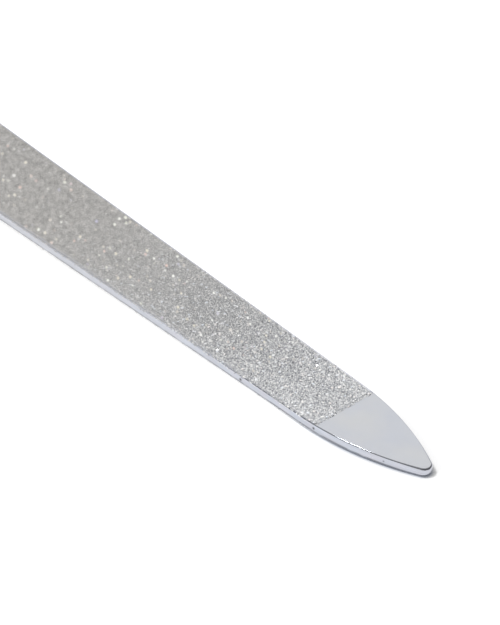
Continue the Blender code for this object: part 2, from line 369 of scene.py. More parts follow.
def table_paint():
    """White paint with painted shade in the gap under the tip, that glows where it is seen."""
    material, tree, shader = new_material(
        "white_table", Roughness=TABLE_ROUGHNESS, Specular_IOR_Level=0.0)
    material.cycles.emission_sampling = "NONE"
    place = object_place(tree)
    away = spread(tree, coordinate(tree, place, "X"), AWAY_FROM_NOSE, smooth=True)
    # Painted shade: ambient occlusion darkens the paint in the narrow gap under the tip.
    gap = add_node(tree, "ShaderNodeAmbientOcclusion", inputs={"Distance": CONTACT_REACH})
    clear = between(tree, away, spread(tree, gap.outputs["AO"], CONTACT_FADE), 1.0)
    tone = blend(tree, clear, PAINTED_GAP_SHADE, grey(1))
    feed(tree, shader, Base_Color=scaled(tree, tone, TABLE_WHITE))
    path = add_node(tree, "ShaderNodeLightPath").outputs
    seen = calc(tree, "MAXIMUM", path["Is Camera Ray"], path["Is Glossy Ray"])
    seen = calc(tree, "MAXIMUM", seen, path["Is Transmission Ray"])
    distance = add_node(tree, "ShaderNodeVectorMath", operation="LENGTH", inputs={0: place})
    far = spread(tree, distance.outputs["Value"], FAR_FROM_FILE, (0.0, FAR_GLOW), smooth=True)
    more = calc(tree, "MAXIMUM", times(tree, away, AWAY_GLOW - TABLE_GLOW), far)
    strength = calc(
        tree, "MULTIPLY_ADD", more, path["Is Camera Ray"], times(tree, seen, TABLE_GLOW))
    glow = add_node(tree, "ShaderNodeEmission", inputs={"Color": tone, "Strength": strength})
    both = add_node(tree, "ShaderNodeAddShader", inputs={0: shader.outputs[0], 1: glow.outputs[0]})
    tree.links.new(both.outputs[0], tree.nodes["Material Output"].inputs["Surface"])
    return material


def add_table(slope):
    """A wide plane tilted to the slope, a hair below what rests on it."""
    select_only(None)
    bpy.ops.mesh.primitive_plane_add(size=TABLE_SIZE)
    table = bpy.context.active_object
    table.name = "table"
    table.rotation_euler.y = -math.atan(slope)
    table.location = (0, 0, STEEL_BOTTOM - slope * NOSE_X - TABLE_DROP)
    table.data.materials.append(table_paint())


slope = table_slope()
add_table(slope)
print("table tilts by", round(math.degrees(math.atan(slope)), 3), "degrees")

# %% [markdown]
# ## Light
# The white tent gives the same soft light from all round. Metal shows what stands round
# it, though, and a tent is never even: what the chrome mirrors is bright behind the file,
# which the flat faces show, and towards the handle, which the straight rims show. It is
# dark on the side of the camera, which draws a thin dark line round the tip. So the world
# has two parts, one for mirrored rays and one for the rest. A softbox high on the left
# makes a soft shadow to the right of the nose, a small one beside it puts a white glint
# on the rim and makes the diamonds sparkle, and a wide one fills in from the near side.

# %% Light tent and softboxes
TENT_AXIS = (-0.60, 0.48, 0.64)
TENT_LEVEL = 0.44
MIRROR_BRIGHT = 1.0
MIRROR_FADE = (0.80, 0.95)
MIRROR_HORIZON = 0.35
HORIZON_FADE = (0.0, 0.40)
END_TO_END = (
    (-0.61, 1.0), (-0.565, 0.24), (-0.50, 0.24), (-0.46, 0.34), (-0.10, 0.34), (0.40, 0.16))
KEY_WAY = (-0.38, -0.26, 0.89)
KEY_RANGE = 0.58
KEY_SIZE = 0.16
KEY_WATTS = 1.55
FILL_WAY = (-0.30, -0.82, 0.49)
FILL_RANGE = 0.60
FILL_SIZE = 0.30
FILL_WATTS = 1.0
GLINT_WAY = (-0.35, -0.28, 0.89)
GLINT_RANGE = 0.50
GLINT_SIZE = 0.060
GLINT_WATTS = 0.3


def mirrored_tent(tree):
    """Brightness of what the metal mirrors: a bright patch behind the file, and its two ends."""
    way = add_node(tree, "ShaderNodeTexCoord").outputs["Generated"]
    axis = Vector(TENT_AXIS).normalized()
    facing = add_node(tree, "ShaderNodeVectorMath", operation="DOT_PRODUCT",
                      inputs={0: way, 1: axis})
    patch = spread(tree, facing.outputs["Value"], MIRROR_FADE, (0.0, MIRROR_BRIGHT), smooth=True)
    low = spread(tree, coordinate(tree, way, "Z"), HORIZON_FADE, (MIRROR_HORIZON, 1.0), smooth=True)
    along = spread(tree, coordinate(tree, way, "X"), (-1.0, 1.0))
    ends = graded(tree, along, [((x + 1) / 2, grey(level)) for x, level in END_TO_END])
    return calc(tree, "MAXIMUM", times(tree, patch, low), ends)


def add_tent():
    """White to the camera, the mirrored tent to glossy rays, and plain even light to the rest."""
    world = bpy.data.worlds.new("light_tent")
    bpy.context.scene.world = world
    world.use_nodes = True
    world.cycles.sampling_method = "NONE"
    tree = world.node_tree
    path = add_node(tree, "ShaderNodeLightPath").outputs
    even, shown, white = (
        add_node(tree, "ShaderNodeBackground", inputs={"Color": colour, "Strength": level})
        for colour, level in ((grey(1), TENT_LEVEL), (mirrored_tent(tree), 1.0), (grey(1), 1.0)))
    tent = add_node(tree, "ShaderNodeMixShader", inputs={
        0: path["Is Glossy Ray"], 1: even.outputs[0], 2: shown.outputs[0]})
    seen = add_node(tree, "ShaderNodeMixShader", inputs={
        0: path["Is Camera Ray"], 1: tent.outputs[0], 2: white.outputs[0]})
    tree.links.new(seen.outputs[0], tree.nodes["World Output"].inputs["Surface"])


def add_softbox(name, way, reach, size, watts):
    """A square lamp aimed at the nose from a distance, in a given direction."""
    data = bpy.data.lights.new(name, "AREA")
    data.shape = "SQUARE"
    data.size = size
    data.energy = watts
    lamp = bpy.data.objects.new(name, data)
    bpy.context.scene.collection.objects.link(lamp)
    way = Vector(way).normalized()
    lamp.location = Vector((NOSE_X, 0, 0)) + way * reach
    lamp.rotation_mode = "QUATERNION"
    lamp.rotation_quaternion = way.to_track_quat("Z", "Y")
    return lamp


add_tent()
key = add_softbox("key", KEY_WAY, KEY_RANGE, KEY_SIZE, KEY_WATTS)
fill = add_softbox("fill", FILL_WAY, FILL_RANGE, FILL_SIZE, FILL_WATTS)
key.visible_glossy = False
fill.visible_glossy = False
add_softbox("glint", GLINT_WAY, GLINT_RANGE, GLINT_SIZE, GLINT_WATTS)

# %% [markdown]
# ## Blade
# The blank is stamped from one millimetre sheet steel, so it starts as a flat outline: a
# plane for the tapered part, whose front edge is drawn out and narrowed step by step
# along the tip's arc, and whose heel edge is cut in three to draw the tang back. Only
# then does it get its thickness, its two holes and its polished rims. Its chrome reads
# Object coordinates, so the primitives that make it come without a UV map.

# %% Flat outline of the blank
TIP_STEPS = 28
NOSE_STEPS = 8
CORNER_STEPS = 6
TINY = 0.00001


def tip_stations():
    """Setback and half width along the tip, from the shoulder to just behind the nose."""
    flank = np.linspace(math.pi / 2 - math.atan(TAPER), MEET_ANGLE, TIP_STEPS + 1)[1:]
    nose = np.linspace(MEET_ANGLE, 0, NOSE_STEPS + 1)[1:-1]
    long_arc = [
        (ARC_BACK - ARC_RADIUS * math.cos(a), ARC_SIDE + ARC_RADIUS * math.sin(a)) for a in flank]
    return long_arc + [(NOSE_RADIUS * (1 - math.cos(a)), NOSE_RADIUS * math.sin(a)) for a in nose]


def draw_tip(shoulder_x):
    """Draw the front edge out to each station and narrow it, then close the nose."""
    pick("edges", lambda e: middle(e).x > shoulder_x - TINY)
    x, half = shoulder_x, SHOULDER_WIDTH / 2
    for back, next_half in tip_stations():
        draw_out(NOSE_X - back - x)
        bpy.ops.transform.resize(value=(1, next_half / half, 1))
        x, half = NOSE_X - back, next_half
    draw_out(NOSE_X - x)
    bpy.ops.mesh.merge(type="CENTER")


def draw_tang(heel_half):
    """Cut the heel edge in three, set the middle part's width and draw it back."""
    pick("edges", lambda e: middle(e).x < HEEL_X + TINY)
    bpy.ops.mesh.subdivide(number_cuts=2)
    pick("verts", lambda v: v.co.x < HEEL_X + TINY and abs(v.co.y) < heel_half / 2)
    bpy.ops.transform.resize(value=(1, TANG_WIDTH / 2 / (heel_half / 3), 1))
    pick("edges", lambda e: middle(e).x < HEEL_X + TINY and abs(middle(e).y) < TINY)
    draw_out(TANG_END_X - HEEL_X)


def round_corners(test, radius):
    pick("verts", test)
    bpy.ops.mesh.bevel(affect="VERTICES", offset=radius, segments=CORNER_STEPS)


def flat_blank():
    """The blank's outline as one flat face, with its corners rounded."""
    select_only(None)
    shoulder_x = NOSE_X - SHOULDER_SETBACK
    heel_half = float(blade_half_width(NOSE_X - HEEL_X))
    bpy.ops.mesh.primitive_plane_add(
        size=1, calc_uvs=False, location=((shoulder_x + HEEL_X) / 2, 0, STEEL_BOTTOM))
    blank = bpy.context.active_object
    blank.name = "chromed_blade"
    blank.scale = (shoulder_x - HEEL_X, 2 * heel_half, 1)
    apply_place(blank)
    edit_mode(True)
    pick("edges", lambda e: middle(e).x > shoulder_x - TINY)
    bpy.ops.transform.resize(value=(1, SHOULDER_WIDTH / 2 / heel_half, 1))
    draw_tip(shoulder_x)
    draw_tang(heel_half)
    bpy.ops.mesh.select_all(action="SELECT")
    bpy.ops.mesh.dissolve_faces()
    round_corners(lambda v: v.co.x < TANG_END_X + TINY, TANG_END_CORNER)
    round_corners(
        lambda v: abs(v.co.x - HEEL_X) < TINY and abs(v.co.y) < heel_half - TINY, ROOT_FILLET)
    round_corners(
        lambda v: abs(v.co.x - HEEL_X) < TINY and abs(v.co.y) > heel_half - TINY, HEEL_CORNER)
    edit_mode(False)
    return blank


blade = flat_blank()
print("outline points:", len(blade.data.vertices), "faces:", len(blade.data.polygons))

# %% [markdown]
# The press leaves square edges, and tumbling and polishing round them before the chrome
# goes on. The rounding is only an eighth of a millimetre along the blade and grows
# towards the nose, where the wheel takes off more. It is what catches the light, so a
# weighted bevel cuts it in four steps, with normals hardened so that the flats stay flat.

# %% Thickness, holes and rims
RIM_STEPS = 4
NOSE_ROUND_ABOVE = 0.00024
NOSE_ROUND_BELOW = 0.00045
NOSE_ROUND_REACH = 0.0024
ROUND_STEPS = 9
ROUND_GATHER = 1.5
HOLE_STEPS = 48
SHARP_ANGLE = math.radians(50)


def punch_hole(blank, x):
    """Cut a hole with a cylinder that is three sheets long."""
    select_only(None)
    bpy.ops.mesh.primitive_cylinder_add(
        vertices=HOLE_STEPS, radius=TANG_HOLE_RADIUS, depth=3 * STEEL_THICKNESS,
        calc_uvs=False, location=(x, 0, STEEL_TOP))
    punch = bpy.context.active_object
    apply_modifier(blank, "BOOLEAN", "hole", operation="DIFFERENCE", object=punch)
    bpy.data.objects.remove(punch)


def weigh_rims():
    """In edit mode, give all rims the common rounding, and both of the nose's a growing one."""
    pick("edges", lambda e: e.calc_face_angle(0) > SHARP_ANGLE)
    bpy.ops.transform.edge_bevelweight(value=EDGE_ROUND / NOSE_ROUND_BELOW)
    for z, most in ((STEEL_TOP, NOSE_ROUND_ABOVE), (STEEL_BOTTOM, NOSE_ROUND_BELOW)):
        growth = (most - EDGE_ROUND) / NOSE_ROUND_BELOW / ROUND_STEPS
        for step in range(ROUND_STEPS):
            start = NOSE_X - NOSE_ROUND_REACH * (1 - step / ROUND_STEPS) ** ROUND_GATHER
            pick("edges", lambda e: middle(e).x > start and abs(middle(e).z - z) < TINY
                 and e.calc_face_angle(0) > SHARP_ANGLE)
            bpy.ops.transform.edge_bevelweight(value=growth)


def finish_blank(blank):
    """Give the outline its thickness, its holes and its polished rims."""
    select_only(blank)
    edit_mode(True)
    bpy.ops.mesh.select_all(action="SELECT")
    bpy.ops.mesh.extrude_region_move(TRANSFORM_OT_translate={"value": (0, 0, STEEL_THICKNESS)})
    bpy.ops.mesh.select_all(action="SELECT")
    bpy.ops.mesh.normals_make_consistent(inside=False)
    edit_mode(False)
    for x in TANG_HOLES_X:
        punch_hole(blank, x)
    select_only(blank)
    bpy.ops.object.shade_smooth_by_angle(angle=SHARP_ANGLE)
    edit_mode(True)
    weigh_rims()
    edit_mode(False)
    apply_modifier(blank, "BEVEL", "polished_rims", width=NOSE_ROUND_BELOW, segments=RIM_STEPS,
                   limit_method="WEIGHT", use_clamp_overlap=False, harden_normals=True)


finish_blank(blade)
flat_front = max(v.co.x for v in blade.data.vertices if v.co.z > STEEL_TOP - TINY / 10)
print("blade:", len(blade.data.polygons), "faces")
print("rounding at the nose in mm:", round((NOSE_X - flat_front) * 1000, 3))

# %% [markdown]
# No real surface is even, and a soft mottling keeps each finish from looking computed.
# Every material needs it, so it is one node group with its own scale and range each time.

# %% Mottling group
NOISE_RANGE = (0.3, 0.7)


def make_mottling():
    """Soft blotches between a low and a high value."""
    group = bpy.data.node_groups.new("mottling", "ShaderNodeTree")
    face = group.interface
    face.new_socket("Vector", in_out="INPUT", socket_type="NodeSocketVector")
    for name, value in (("Scale", 1000.0), ("Detail", 3.0), ("Low", 0.0), ("High", 1.0)):
        face.new_socket(name, in_out="INPUT", socket_type="NodeSocketFloat").default_value = value
    face.new_socket("Value", in_out="OUTPUT", socket_type="NodeSocketFloat")
    inside = add_node(group, "NodeGroupInput").outputs
    noise = add_node(group, "ShaderNodeTexNoise", inputs={
        "Vector": inside["Vector"], "Scale": inside["Scale"], "Detail": inside["Detail"]})
    value = spread(group, noise.outputs["Fac"], NOISE_RANGE, (inside["Low"], inside["High"]))
    add_node(group, "NodeGroupOutput", inputs={"Value": value})
    return group


MOTTLING = make_mottling()


def mottled(tree, vector, scale, ends=(0.0, 1.0), detail=3.0):
    """Place the mottling group in a tree, and return its value."""
    return add_node(tree, "ShaderNodeGroup", node_tree=MOTTLING, inputs={
        "Vector": vector, "Scale": scale, "Detail": detail,
        "Low": ends[0], "High": ends[1]}).outputs["Value"]


print("mottling's sockets:", [item.name for item in MOTTLING.interface.items_tree])

# %% [markdown]
# ## Chrome
# The sides are mirror chrome with a cool cast. The faces were lapped before plating, so
# there the chrome is satin. A mask on the object's own normals tells the two apart. The
# press also left its marks on the sides: faint upright streaks, a broken dark line low
# down where the cut turned rough, and a nick wherever the strip held the blank. They are
# a few hundredths of a millimetre deep, so they are made as colour, and the darkness of
# each nick is painted shade for its small hollow. Low on the sides the colour is also
# darkened towards the nose as painted shade, for the shaded table that the chrome mirrors
# under the tip.

# %% Chrome finish
SATIN_CHROME = (0.628, 0.637, 0.655, 1)
SATIN_COOL = (0.590, 0.612, 0.665, 1)
MIRROR_CHROME = (0.592, 0.594, 0.652, 1)
MIRROR_COOL = (0.565, 0.602, 0.672, 1)
MIRROR_FAR = (0.562, 0.572, 0.614, 1)
CAST_FRONT = (NOSE_X - 0.055, NOSE_X - 0.020)
MIRROR_CLOUDS = 500
SATIN_CLOUDS = 260
SATIN_GRAIN = 900
MIRROR_ROUGHNESS = 0.05
SATIN_ROUGHNESS = (0.32, 0.36)
SATIN_METALLIC = 0.7
FACE_TURN = (0.9, 0.995)
STREAK_SCALE = (250, 1, 2600)
STREAK_RANGE = (0.88, 1.04)
FOOT_FRONT = (NOSE_X - 0.034, NOSE_X - 0.018)
# Painted shade at the foot of the sides, stronger towards the nose.
FOOT_SHADE_LEVEL = (1.0, 0.60)
FOOT_SHADE_HEIGHT = (STEEL_BOTTOM + 0.00010, STEEL_BOTTOM + 0.00018)
LINE_SCALE = (900, 1, 300)
LINE_RANGE = (0.2, 1.6)
LINE_STRENGTH = (0.52, 0.62)
LINE_HALF = 0.00012
LINE_HEIGHT = STEEL_BOTTOM + 0.00019
SIDE_MIDDLE = (STEEL_TOP + STEEL_BOTTOM) / 2
# Each nick is a spot of painted shade for its small hollow: setback, size and brightness.
PAINTED_NICK_SHADES = ((0.00398, 0.00014, 0.55), (0.01195, 0.00020, 0.20), (0.02246, 0.00022, 0.12))


def side_marks(tree, place):
    """How bright the sides are: streaks, a foot darkened towards the nose as painted shade,
    a broken line above it, and the nicks as spots of painted shade, each given by its
    setback, size and brightness."""
    along, height = (coordinate(tree, place, axis) for axis in "XZ")
    upright, dashed, on_side = (
        add_node(tree, "ShaderNodeVectorMath", operation="MULTIPLY",
                 inputs={0: place, 1: scale}).outputs[0]
        for scale in (STREAK_SCALE, LINE_SCALE, (1, 0, 1)))
    streaks = mottled(tree, upright, 1.0, STREAK_RANGE)
    # Painted shade: the foot of the sides darkens towards the nose.
    foot_level = spread(tree, along, FOOT_FRONT, FOOT_SHADE_LEVEL)
    foot = spread(tree, height, FOOT_SHADE_HEIGHT, (foot_level, 1.0))
    strength = spread(tree, along, FOOT_FRONT, LINE_STRENGTH)
    off_line = calc(tree, "ABSOLUTE", calc(tree, "SUBTRACT", height, LINE_HEIGHT))
    on_line = spread(tree, off_line, (0.0, LINE_HALF), (strength, 0.0))
    dashes = add_node(tree, "ShaderNodeClamp", inputs={
        "Value": mottled(tree, dashed, 1.0, LINE_RANGE)}).outputs[0]
    line = calc(tree, "SUBTRACT", 1.0, times(tree, on_line, dashes))
    value = times(tree, streaks, foot, line)
    # Each nick is painted shade.
    for setback, size, level in PAINTED_NICK_SHADES:
        mark = (NOSE_X - setback, 0, SIDE_MIDDLE)
        away = add_node(tree, "ShaderNodeVectorMath", operation="DISTANCE",
                        inputs={0: on_side, 1: mark})
        shade = spread(tree, away.outputs["Value"], (size / 3, size), (level, 1.0), smooth=True)
        value = times(tree, value, shade)
    return value


def chrome_finish():
    """Mirror chrome with its marks on the sides, satin chrome on the faces."""
    material, tree, shader = new_material("chromed_steel")
    texture = add_node(tree, "ShaderNodeTexCoord").outputs
    place = texture["Object"]
    face = spread(tree, calc(tree, "ABSOLUTE", coordinate(tree, texture["Normal"], "Z")), FACE_TURN)
    cast = blend(tree, mottled(tree, place, MIRROR_CLOUDS), MIRROR_CHROME, MIRROR_COOL)
    near = spread(tree, coordinate(tree, place, "X"), CAST_FRONT)
    mirror = scaled(tree, blend(tree, near, MIRROR_FAR, cast), side_marks(tree, place))
    satin = blend(tree, mottled(tree, place, SATIN_CLOUDS), SATIN_CHROME, SATIN_COOL)
    lapped = mottled(tree, place, SATIN_GRAIN, SATIN_ROUGHNESS)
    feed(tree, shader, Base_Color=blend(tree, face, mirror, satin),
         Roughness=between(tree, face, MIRROR_ROUGHNESS, lapped),
         Metallic=between(tree, face, 1.0, SATIN_METALLIC))
    return material


blade.data.materials.append(chrome_finish())
print("chrome nodes:", len(blade.data.materials[0].node_tree.nodes))

# %% [markdown]
# ## Diamond grains
# Each face is set with crushed diamonds, coarse ones of 0.18 mm above and fine ones of
# 0.13 mm below, sunk deep in nickel. Bump alone would give a flat shimmer, so the
# crystals are real facets: one small eight sided crystal is modelled here, and copied
# many thousand times further down.

# %% One crystal
CRYSTAL_HALF = 0.5


def model_crystal():
    """A four sided pyramid whose open base is drawn down and gathered to a second point."""
    select_only(None)
    bpy.ops.mesh.primitive_cone_add(
        vertices=4, radius1=CRYSTAL_HALF, radius2=0, depth=CRYSTAL_HALF,
        end_fill_type="NOTHING", location=(0, 0, CRYSTAL_HALF / 2))
    crystal = bpy.context.active_object
    apply_place(crystal)
    edit_mode(True)
    pick("edges", lambda e: middle(e).z < CRYSTAL_HALF / 4)
    bpy.ops.mesh.extrude_region_move(TRANSFORM_OT_translate={"value": (0, 0, -CRYSTAL_HALF)})
    bpy.ops.mesh.merge(type="CENTER")
    bpy.ops.mesh.select_all(action="SELECT")
    bpy.ops.mesh.normals_make_consistent(inside=False)
    edit_mode(False)
    points = np.array([v.co for v in crystal.data.vertices])
    # The extrusion leaves its facets in another order each run, so all are put in order.
    upper = sorted(p.vertices[:] for p in crystal.data.polygons if p.center.z > 0)
    lower = sorted(p.vertices[:] for p in crystal.data.polygons if p.center.z < 0)
    bpy.data.objects.remove(crystal)
    return points, np.array(upper + lower[::-1])


CRYSTAL_POINTS, CRYSTAL_FACES = model_crystal()
print("one crystal:", len(CRYSTAL_POINTS), "points,", len(CRYSTAL_FACES), "facets")

# %% [markdown]
# The nickel that holds the crystals is a thin plated layer. The frame has it as a plate
# with square edges. A merged copy gets its long rims rounded and its front line sloped,
# because plating thins out towards its border.

# %% Nickel layers
MERGE = 0.000002
FLAT_ANGLE = math.radians(0.5)
COAT_DEPTH = COAT_HIGH.z - COAT_LOW.z
RIM_SLOPE = 0.00009
RIM_SLOPE_STEPS = 2
FRONT_SLOPE = 0.00035


def smooth_copy(node, name):
    """A merged copy of a frame node, shaded smooth, that stands for it."""
    piece = bpy.data.objects.new(name, nodes[node].data.copy())
    bpy.context.scene.collection.objects.link(piece)
    select_only(piece)
    bpy.ops.mesh.customdata_custom_splitnormals_clear()
    edit_mode(True)
    bpy.ops.mesh.select_all(action="SELECT")
    bpy.ops.mesh.remove_doubles(threshold=MERGE)
    bpy.ops.mesh.dissolve_limited(angle_limit=FLAT_ANGLE)
    edit_mode(False)
    bpy.ops.object.shade_smooth_by_angle(angle=SHARP_ANGLE)
    piece.data.materials.clear()
    print(name, len(piece.data.polygons), "faces")
    return piece


def slope_edges(piece, outer_z, front_x):
    """Round the long rims of the coat's outer face, and draw its front line back."""
    select_only(piece)
    edit_mode(True)
    pick("edges", lambda e: abs(middle(e).z - outer_z) < TINY and e.calc_face_angle(0) > SHARP_ANGLE
         and abs(middle(e).y) > TINY)
    bpy.ops.mesh.bevel(offset=RIM_SLOPE, segments=RIM_SLOPE_STEPS)
    pick("verts", lambda v: v.co.x > front_x - TINY and abs(v.co.z - outer_z) < COAT_DEPTH / 2)
    bpy.ops.transform.translate(value=(-FRONT_SLOPE, 0, 0))
    edit_mode(False)
    bpy.ops.object.shade_smooth_by_angle(angle=SHARP_ANGLE)


upper_nickel = smooth_copy("upper_grit_coat", "upper_nickel")
lower_nickel = smooth_copy("lower_grit_coat", "lower_nickel")
slope_edges(upper_nickel, COAT_HIGH.z, COAT_HIGH.x)
slope_edges(lower_nickel, UNDER_LOW.z, UNDER_HIGH.x)

# %% [markdown]
# The crystals lie on a jittered grid, each with its own turn, size and squash, and follow
# the slopes of the nickel. Those near the tip stand tall, and use has worn the ones behind
# flat. A few in a hundred are big and lie flat, and those are the ones that sparkle. Along
# the near rim some spill over the edge, and along the far one they keep back from it. Each
# face is split in a front and a rear mesh, which keeps every mesh under 200,000 facets.
# Arrays set the crystals far quicker than one copy after another would.

# %% Places of the crystals
GRAIN_PITCH = 0.000150
ROW_SHARE = 0.87
PLACE_JITTER = 0.33
FRONT_SPILL = 0.00009
SPILL_REACH = (0.018, 0.030)
RIM_SPILL = (0.00017, 0.00018)
SPILL_SHARE = (0.60, 0.82)
FAR_REACH = (0.030, 0.055)
FAR_KEEP = (0.00016, 0.00028)


def coat_drop(front, rim):
    """How far the coat's face lies below its full height, near its front line and its rims."""
    along = np.clip(1 - front / FRONT_SLOPE, 0, 1) * COAT_DEPTH
    across = np.clip(RIM_SLOPE - rim, 0, RIM_SLOPE)
    past = np.clip(-rim - (COAT_INSET - EDGE_ROUND), 0, EDGE_ROUND)
    rounding = EDGE_ROUND - np.sqrt(EDGE_ROUND ** 2 - past ** 2)
    return np.maximum(along, np.where(rim < 0, COAT_DEPTH + rounding, across))


def grain_places(low, high, rng):
    """A jittered grid of offset rows inside the coat, and how far the coat slopes down there."""
    across = np.arange(-MOUTH_BLADE_WIDTH / 2, MOUTH_BLADE_WIDTH / 2, GRAIN_PITCH)
    rows = np.arange(low.x, high.x + GRAIN_PITCH, GRAIN_PITCH * ROW_SHARE)
    x, y = np.meshgrid(rows, across, indexing="ij")
    y[1::2] += GRAIN_PITCH / 2
    x = (x + rng.uniform(-PLACE_JITTER, PLACE_JITTER, x.shape) * GRAIN_PITCH).ravel()
    y = (y + rng.uniform(-PLACE_JITTER, PLACE_JITTER, y.shape) * GRAIN_PITCH).ravel()
    front = high.x - x
    rim = blade_half_width(NOSE_X - x) - COAT_INSET - np.abs(y)
    share, reach = (np.interp(NOSE_X - x, SPILL_REACH, ends) for ends in (SPILL_SHARE, RIM_SPILL))
    spill = rng.uniform(0, 1, len(x)) < share
    border = np.interp(NOSE_X - x, FAR_REACH, FAR_KEEP)
    limit = np.where(y > 0, border, np.where(spill, -reach, 0))
    keep = (rim > limit) & (front > -FRONT_SPILL) & (x > low.x)
    return x[keep], y[keep], coat_drop(front, rim)[keep]


# %% [markdown]
# Every facet also gets a random number. The finish turns it into a tint with painted
# light and shade, as a facet of a real crystal is dark or bright by where it happens to
# face. The facets of a big crystal share one number, from the top of the range.

# %% Setting the crystals
COARSE_GRAIN = 0.000180
FINE_GRAIN = 0.000130
COARSE_SEED = 7
FINE_SEED = 8
SIZE_SPREAD = 0.28
BIG_SHARE = 0.032
BIG_GROWTH = 0.7
BIG_FLAT = 0.55
BIG_LIFT = 0.00003
BIG_TINTS = 0.93
SQUASH_SPREAD = 0.22
POINT_SPREAD = 0.22
WORN_REACH = (0.012, 0.022, 0.032, 0.055)
HEIGHTS = (0.50, 0.62, 0.72, 0.32)
SUNK = 0.10
DEPTH_SPREAD = 0.12
SPLIT_X = NOSE_X - 0.0537


def random_turns(count, rng):
    """Evenly random rotation matrices, from unit quaternions."""
    q = rng.normal(size=(count, 4))
    w, x, y, z = (q / np.linalg.norm(q, axis=1)[:, None]).T
    return np.array([
        [1 - 2 * (y * y + z * z), 2 * (x * y - z * w), 2 * (x * z + y * w)],
        [2 * (x * y + z * w), 1 - 2 * (x * x + z * z), 2 * (y * z - x * w)],
        [2 * (x * z - y * w), 2 * (y * z + x * w), 1 - 2 * (x * x + y * y)]]).transpose(2, 0, 1)


def grain_piece(name, shape, tints):
    """One mesh of many crystals, with a random number on every facet for its tint and its painted light and
    shade.
    """
    corners = CRYSTAL_FACES + np.arange(len(shape))[:, None, None] * len(CRYSTAL_POINTS)
    mesh = bpy.data.meshes.new(name)
    mesh.from_pydata(shape.reshape(-1, 3).tolist(), [], corners.reshape(-1, 3).tolist())
    tint = mesh.attributes.new("crystal", "FLOAT", "FACE")
    tint.data.foreach_set("value", tints.ravel())
    piece = bpy.data.objects.new(name, mesh)
    bpy.context.scene.collection.objects.link(piece)
    print(name, len(shape), "crystals,", len(mesh.polygons), "facets")
    return piece


def set_grains(name, low, high, surface_z, outward, size, seed):
    """Both meshes of one face; outward is 1 above and -1 below."""
    rng = np.random.default_rng(seed)
    x, y, drop = grain_places(low, high, rng)
    count = len(x)
    sizes = size * rng.uniform(1 - SIZE_SPREAD, 1 + SIZE_SPREAD, (count, 1, 1))
    big = rng.uniform(0, 1, count) < BIG_SHARE
    sizes *= np.where(big, 1 + BIG_GROWTH, 1)[:, None, None]
    squash = rng.uniform(1 - SQUASH_SPREAD, 1 + SQUASH_SPREAD, (count, 1, 3))
    uneven = rng.uniform(1 - POINT_SPREAD, 1 + POINT_SPREAD, (count, len(CRYSTAL_POINTS), 1))
    turns = random_turns(count, rng)
    shape = np.einsum("nij,npj->npi", turns, CRYSTAL_POINTS * sizes * squash * uneven)
    height = np.interp(NOSE_X - x, WORN_REACH, HEIGHTS) * np.where(big, BIG_FLAT, 1)
    shape[:, :, 2] *= height[:, None]
    depth = (rng.uniform(-DEPTH_SPREAD, DEPTH_SPREAD, count) - SUNK) * size * height - drop
    depth += np.where(big, BIG_LIFT, 0)
    shape += np.stack([x, y, surface_z + outward * depth], 1)[:, None, :]
    tints = rng.uniform(0, 1, (count, len(CRYSTAL_FACES))) * BIG_TINTS
    tints[big] = rng.uniform(BIG_TINTS, 1, (count, 1))[big]
    front = x > SPLIT_X
    return [grain_piece(part + name, shape[here], tints[here])
            for part, here in (("front_", front), ("rear_", ~front))]


upper_grains = set_grains(
    "upper_grains", COAT_LOW, COAT_HIGH, COAT_HIGH.z, 1, COARSE_GRAIN, COARSE_SEED)
lower_grains = set_grains(
    "lower_grains", UNDER_LOW, UNDER_HIGH, UNDER_LOW.z, -1, FINE_GRAIN, FINE_SEED)

# %% [markdown]
# The middle of the blade does most of the filing, and pale warm dust settles between the
# grains there. A shared group gives its share along the blade, broken up by mottling. It
# also dims the grains that still show, more towards the handle, and paints shade across
# the middle of the blade's width, so that they stay lighter near the rims. Pale round spots
# over the dust are painted highlights, the blurred sparkles of single crystals, wide and
# soft towards the handle, where the photograph loses its focus, and small towards the
# nose. Cells of a Voronoi texture make them, each with its own chance and tone. The
# pattern is turned and stretched to look round from where the camera stands.

# %% Dust and painted light group
DUST_TONES = ((0.330, 0.322, 0.311, 1), (0.53, 0.516, 0.50, 1))
DUST_FRONT = (NOSE_X - 0.062, NOSE_X - 0.016)
DUST_SHARE = 0.985
DUST_PATCHES = 880
DUST_ROUGHNESS = 0.9
COVER_PATCHES = 700
COVER_RANGE = (0.95, 1.03)
PATTERN_SLICE = (0, 0, 0.0008)
PATTERN_TURN = (0, 0, math.radians(56))
PATTERN_STRETCH = (0.54, 1.0, 1.0)
SPOT_SCALE = 820
SPOT_FRONT = (NOSE_X - 0.062, NOSE_X - 0.026)
SPOT_EDGE = (0.48, 0.27)
SPOT_CORE = 0.12
SPOT_LEAST = (0.60, 0.20)
SPOT_FULL = (0.90, 0.45)
SPOT_END = (NOSE_X - 0.024, NOSE_X - 0.015)
SPOT_COVER = (1.0, 0.0)
# The spots' tones are painted highlights, the blurred sparkles of single crystals.
PAINTED_SPARKLE_TONES = (
    (0.0, (0.88, 0.84, 0.73, 1)), (0.45, (0.66, 0.63, 0.60, 1)), (0.58, (0.82, 0.65, 0.59, 1)),
    (0.64, (0.56, 0.55, 0.66, 1)), (0.76, (1.0, 1.0, 0.98, 1)), (1.0, (0.80, 0.80, 0.72, 1)))
DIMMING_FRONT = (NOSE_X - 0.030, NOSE_X - 0.014)
DIMMING_LEVEL = (0.83, 1.0)
# Painted shade across the blade's width: darker in the middle, lighter near the rims.
PAINTED_SHADE_SIDES = (-0.005, 0.005)
PAINTED_SHADE_ACROSS = ((0.05, 0.0), (0.40, 1.0), (0.65, 1.0), (0.95, 0.5))
PAINTED_SHADE_DEPTH = 0.08


